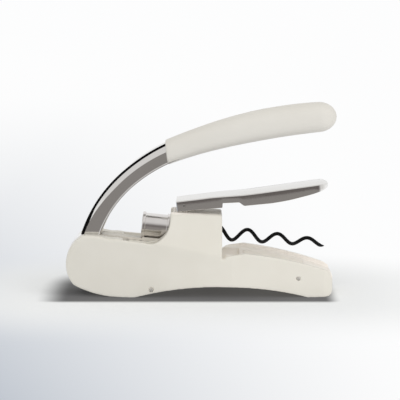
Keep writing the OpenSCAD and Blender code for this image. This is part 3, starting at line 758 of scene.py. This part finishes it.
# %% [markdown]
# ## The grip
#
# A moulding with a soft, slightly squared oval section that follows a long arc. It starts square where it
# meets the neck and closes at the tip with a blunt dome. Each ring is worked out from the share of the way
# along it.

# %% Ring of the grip
grip_arc, grip_length, grip_aim = 320, 104, 111.49
grip_root = on_circle(high_centre, high_radius - 7.27, 116.05)
grip_centre = grip_root - on_circle((0, 0), grip_arc, grip_aim)
root_high, fullest_high, root_wide, fullest_wide = 7.3, 9.1, 10.8, 11.5
dome_from, root_lean, squareness = 0.9, 97, 0.78


def squared(value):
    """Turns a circle's cosine or sine into that of a softly squared oval."""
    return math.copysign(abs(value) ** squareness, value)


def grip_ring(share, shrink=0.0, sides=72):
    angle = grip_aim - math.degrees(share * grip_length / grip_arc)
    middle = on_circle(grip_centre, grip_arc, angle)
    close = 1
    if share > dome_from:
        close = math.sqrt(max(0.0004, 1 - ((share - dome_from) / (1 - dome_from)) ** 2))
    slim = 0.4 * step(share, 0.75, 1.0)
    high = (root_high + (fullest_high - root_high) * step(share, 0.0, 0.62) - slim) * close - shrink
    wide = (fullest_wide - (fullest_wide - root_wide) * (1 - min(1, share / 0.3))) * close**0.8 - shrink
    turned = min(1, share / 0.35)
    up = on_circle((0, 0), 1, angle * turned + root_lean * (1 - turned))
    turns = [2 * math.pi * i / sides for i in range(sides)]
    return [off_side(middle + up * high * squared(math.sin(t)), wide * squared(math.cos(t))) for t in turns]


print("grip from", [round(c, 1) for c in grip_root])

# %% Grip
first_shares, first_shrinks = [0.0, 0.0015, 0.004, 0.008], [0.9, 0.35, 0.1, 0.0]
shares = first_shares + [0.02 * i for i in range(1, 45)]
shares += [dome_from + (1 - dome_from) * math.sin(math.pi / 2 * i / 16) for i in range(17)]
shrinks = first_shrinks + [0.0] * (len(shares) - len(first_shrinks))
mesh = bmesh.new()
skin(mesh, [grip_ring(share, shrink) for share, shrink in zip(shares, shrinks)])
place(finish_mesh("grip_moulding", mesh, [grip_skin], 50), "lever", "soft_grip", "grip")

# %% [markdown]
# ## The clamp lever
#
# A pressed cover: one sheet with a nearly flat top, turned-down sides and a rounded nose. The section is an
# upside-down U that changes along its length. `skirt` is the lower edge of the sides, with a relief where it
# passes the shoulder of the body, and `crown` raises or lowers the top's edges. Each is a line through a few
# (along, height) points, which follows such a pressing more simply than a curve would. The width grows from
# the hinge end.

# %% Lines of the cover
cover_half, cover_length, nose_radius, sheet = 13.5, 86.5, 9, 1.0
top_height, swell, hinge_narrowing, edge_radius = 2.9, 1.2, 1.4, 0.65
skirt = [
    (-4.6, -3.0), (22.2, -3.7), (22.5, -3.4), (22.8, -1.4), (23.1, -1.0), (32.4, -1.5), (33.0, -1.75),
    (35.0, -3.6), (35.7, -3.95), (51.8, -4.2), (60, -3.8), (65.5, -3.2), (75.8, -1.7), (82.9, -0.2),
    (85.9, 1.1), (86.5, 1.9),
]
crown = [
    (-4.6, 0.1), (8, 0.15), (19, 0.35), (24, 0.1), (30, -0.2), (36, -0.5), (44, -0.6), (60, -0.5),
    (86.5, -0.35),
]


def between(points, x):
    """The height at x of a line through points."""
    for (x0, z0), (x1, z1) in zip(points, points[1:]):
        if x <= x1:
            return z0 + (z1 - z0) * (x - x0) / (x1 - x0)
    return points[-1][1]


print("skirt at the relief:", between(skirt, 28), "crown there:", round(between(crown, 28), 2))

# %% [markdown]
# Each ring of the cover goes over the outside from one lower edge to the other, and back along the inside.
# Towards the nose the half width follows a quarter circle and the top falls away, so the rings sit close
# together there. The middle of the top isn't lowered with its edges, because the pad's rivets end just under
# it.


# %% Ring of the cover
def cover_ring(x):
    past_nose = max(0.0, x - (cover_length - nose_radius))
    past_back = max(0.0, -3.8 - x)
    half = cover_half - hinge_narrowing * (1 - step(x, 14, 34)) - 0.5 * past_back / 0.8
    half += math.sqrt(max(0.0, nose_radius**2 - past_nose**2)) - nose_radius
    fall = 1.1 * max(0.0, (x - 82.5) / 4.0) ** 2 + 0.35 * max(0.0, (-3.9 - x) / 0.7) ** 2
    top = top_height + swell * max(0.0, x - 22) / (cover_length - 28) - fall + between(crown, x)
    low = min(between(skirt, x), top - 0.3)
    hollow = top - sheet if x < cover_length - 1.3 else low + 0.02
    within = half - min(sheet, half * 0.5)
    r = min(edge_radius, (top - low) * 0.45)
    lift = max(0.0, -between(crown, x))

    edge = [(half - r + r * math.cos(t), top - r + r * math.sin(t)) for t in (0.4, 0.8, 1.2, math.pi / 2)]
    crest = [(half - 2.4, top + 0.06), (half * 0.5, top + 0.12 + lift), (0.0, top + 0.13 + lift)]
    over = [(half, low + 0.12), (half, top - r), *edge, *crest]
    under = [
        (half - 0.12, low), (within + 0.1, low), (within, low + 0.1), (within, max(low + 0.12, hollow - 0.4)),
        (within - 0.4, max(low + 0.13, hollow)), (0.0, max(low + 0.13, hollow)),
    ]
    outside = [(-y, z) for y, z in over] + over[-2::-1]
    inside = under + [(-y, z) for y, z in under[-2::-1]]
    return [in_frame(clamp_frame, x, y, z) for y, z in outside + inside]


# %% Clamp cover
along_cover = [-4.6, -4.2, 0, 8, 16, 21.6, 22.2, 22.35, 22.5, 22.8, 23.1, 26]
along_cover += [32.4, 33.0, 33.6, 34.3, 35.0, 35.35, 35.7, 38, 42, 46, 50, 51.8]
along_cover += [55, 58, 62, 65.5, 69, 73, 75.8]
along_cover += [cover_length - nose_radius + nose_radius * math.sin(math.pi / 2 * i / 18) for i in range(19)]
mesh = bmesh.new()
skin(mesh, [cover_ring(x) for x in along_cover])
place(finish_mesh("clamp_cover", mesh, [chrome], 28), "clamp", "chrome", "clamp_lever")

# %% [markdown]
# ## Drive head
#
# The head is turned from bar: a barrel with a shoulder at each end, a slimmer waist between them, and a
# recess at the back that the cap fills. A lathe needs only half the outline, as (along, radius) points. `u`
# is where the barrel starts, measured along the worm's axis.

# %% Barrel and cap
mesh = bmesh.new()
u, barrel_length, radius = 23.1, 16.9, 8.15
waist = radius - 0.65
end = u + barrel_length
recess = [(u + 2.6, 0), (u + 2.6, radius - 1.9), (u + 0.5, radius - 1.75), (u + 0.2, radius - 1.5)]
back_shoulder = [
    (u, radius - 1.1), (u, radius - 0.6), (u + 0.15, radius - 0.25), (u + 0.45, radius), (u + 1.8, radius),
    (u + 1.95, radius - 0.1), (u + 2.0, waist + 0.05), (u + 2.1, waist),
]
front_shoulder = [
    (end - 2.1, waist), (end - 2.0, waist + 0.05), (end - 1.95, radius - 0.1), (end - 1.8, radius),
    (end - 0.5, radius), (end - 0.15, radius - 0.2), (end, radius - 0.6), (end, 3.2), (end - 0.4, 0),
]
lathe(mesh, worm_axis, recess + back_shoulder + front_shoulder)
place(finish_mesh("drive_barrel", mesh, [barrel_chrome], 26), "carriage", "chrome", "drive_head")

mesh = bmesh.new()
lathe(mesh, worm_axis, [
    (u + 3.0, 0), (u + 3.0, 6.2), (u + 0.5, 6.25), (u + 0.12, 6.0), (u + 0.02, 5.6), (u + 0.02, 2.3),
    (u + 0.3, 1.9), (u + 0.9, 1.6), (u + 1.1, 0),
], 72)
place(finish_mesh("head_cap_face", mesh, [steel], 26), "carriage", "steel", "head_cap")

# %% [markdown]
# ## Worm
#
# The worm is one wire, wound to a steady pitch and narrowing towards its ground point. It starts on the
# axis in the shank and swings out to its full radius within half a turn. The coil narrows towards the
# point, and the wire itself tapers over the last few millimetres. All lengths are along the axis.

# %% Worm
worm_from, swings_from, narrows_from, worm_to = 41.8, 41.9, 70, 133.5
pitch, phase, swing, taper = 18.2, 87.3, 9, 3
wire_radius, wide, tip = 1.1, 4.0, 1.7


def coil_radius(u):
    swung = min(1, max(0, (u - swings_from) / swing))
    narrowed = max(0, (u - narrows_from) / (worm_to - narrows_from))
    return wide * math.sin(math.pi / 2 * swung) ** 2 - (wide - tip) * narrowed


worm_steps = 420
path, radii = [], []
for i in range(worm_steps + 1):
    u = worm_from + (worm_to - worm_from) * i / worm_steps
    t = 2 * math.pi * (0.25 + (u - phase) / pitch)
    path.append(in_frame(worm_axis, u, coil_radius(u) * math.cos(t), coil_radius(u) * math.sin(t)))
    to_point = max(0, min(1, (worm_to - u) / taper))
    radii.append(max(0.05, wire_radius * to_point**0.6) * MM)
mesh = bmesh.new()
wire(mesh, path, radii, 20)
place(finish_mesh("worm_wire", mesh, [worm_coat], 60), "screw", "black_coating", "worm")

# %% [markdown]
# ## Small steel parts
#
# Pins are small, but their ends catch the light, so each is turned with a domed end instead of a flat disc.
# The body is widest just in front of the tower and narrows both ways, and the two pins through it are as
# long as it is wide there. The clamp pin ends just outside the cover, whose hinge end is narrower than the
# solid's.


# %% Pins through the body
def both_ends(dome):
    """A pin's outline from the (along, radius) points of one end, which start at its tip."""
    return [(-along, radius) for along, radius in dome] + dome[::-1]


def across(at):
    """A frame at a point, with its x axis across the tool."""
    return Matrix.Translation(at) @ Matrix.Rotation(math.radians(90), 4, "Z")


def body_half(x):
    """Half the body's width at a place along it."""
    return 15.8 + 6.5 * (x + 82) / 100 if x < 18 else 22.05 - 6 * (x - 18) / 60


mesh = bmesh.new()
for x, z in ((-29.6, 4.8), (57.6, 11.3)):
    half = body_half(x)
    dome = [(half + 0.1, 0), (half + 0.09, 0.6), (half + 0.02, 1.0), (half - 0.12, 1.18)]
    lathe(mesh, across(off_side((x, z), 0)), both_ends(dome), 40)
place(finish_mesh("body_pin_ends", mesh, [satin], 35), "root", "steel", "body_pins")

# %% Clamp pin and its spring
mesh = bmesh.new()
half = 12.4
lathe(mesh, across(clamp_pin), both_ends([(half, 0), (half, 0.5), (half - 0.1, 0.78), (half - 0.3, 0.9)]), 32)
place(finish_mesh("clamp_pin_turned", mesh, [steel], 35), "root", "steel", "clamp_pin")

turns, per_turn, spring_radius, spring_half, gauge = 5, 28, 1.4, 3.2, 0.28
points = [(spring_radius, -spring_half, -2.2), (spring_radius, -spring_half, -1.0)]
for i in range(turns * per_turn + 1):
    t = 2 * math.pi * i / per_turn
    y = spring_half * (2 * i / (turns * per_turn) - 1)
    points.append((spring_radius * math.cos(t), y, spring_radius * math.sin(t)))
points += [(spring_radius, spring_half, 0.6), (spring_radius, spring_half, 1.2)]
mesh = bmesh.new()
wire(mesh, [clamp_pin + Vector(p) * MM for p in points], [gauge * MM] * len(points), 10)
place(finish_mesh("clamp_spring_wire", mesh, [steel], 60), "root", "steel", "clamp_spring")

# %% [markdown]
# ## Parts that keep their own shape
#
# The rest are plain turned, cut or moulded parts whose solids are already right, so they only change their
# finish.

# %% Finishes for the kept parts
kept = {
    # The rack bar takes the darker copy of the enamel, as painted shade.
    shade: ("rack_bar",),
    liner_painted_light: ("cradle_liner",),
    dark_rubber: ("head_buffer", "clamp_pad"),
    steel: (
        "guide_nut", "axle", "axle_washers", "shell_screws", "drive_gear", "gear_rivets", "grip_pins",
        "head_screws", "thrust_washers", "worm_shank", "shank_clip", "pad_rivets",
    ),
}
for finish, names in kept.items():
    for name in names:
        nodes[name].data.materials.clear()
        nodes[name].data.materials.append(finish)
    print(finish.name, "on", ", ".join(names))
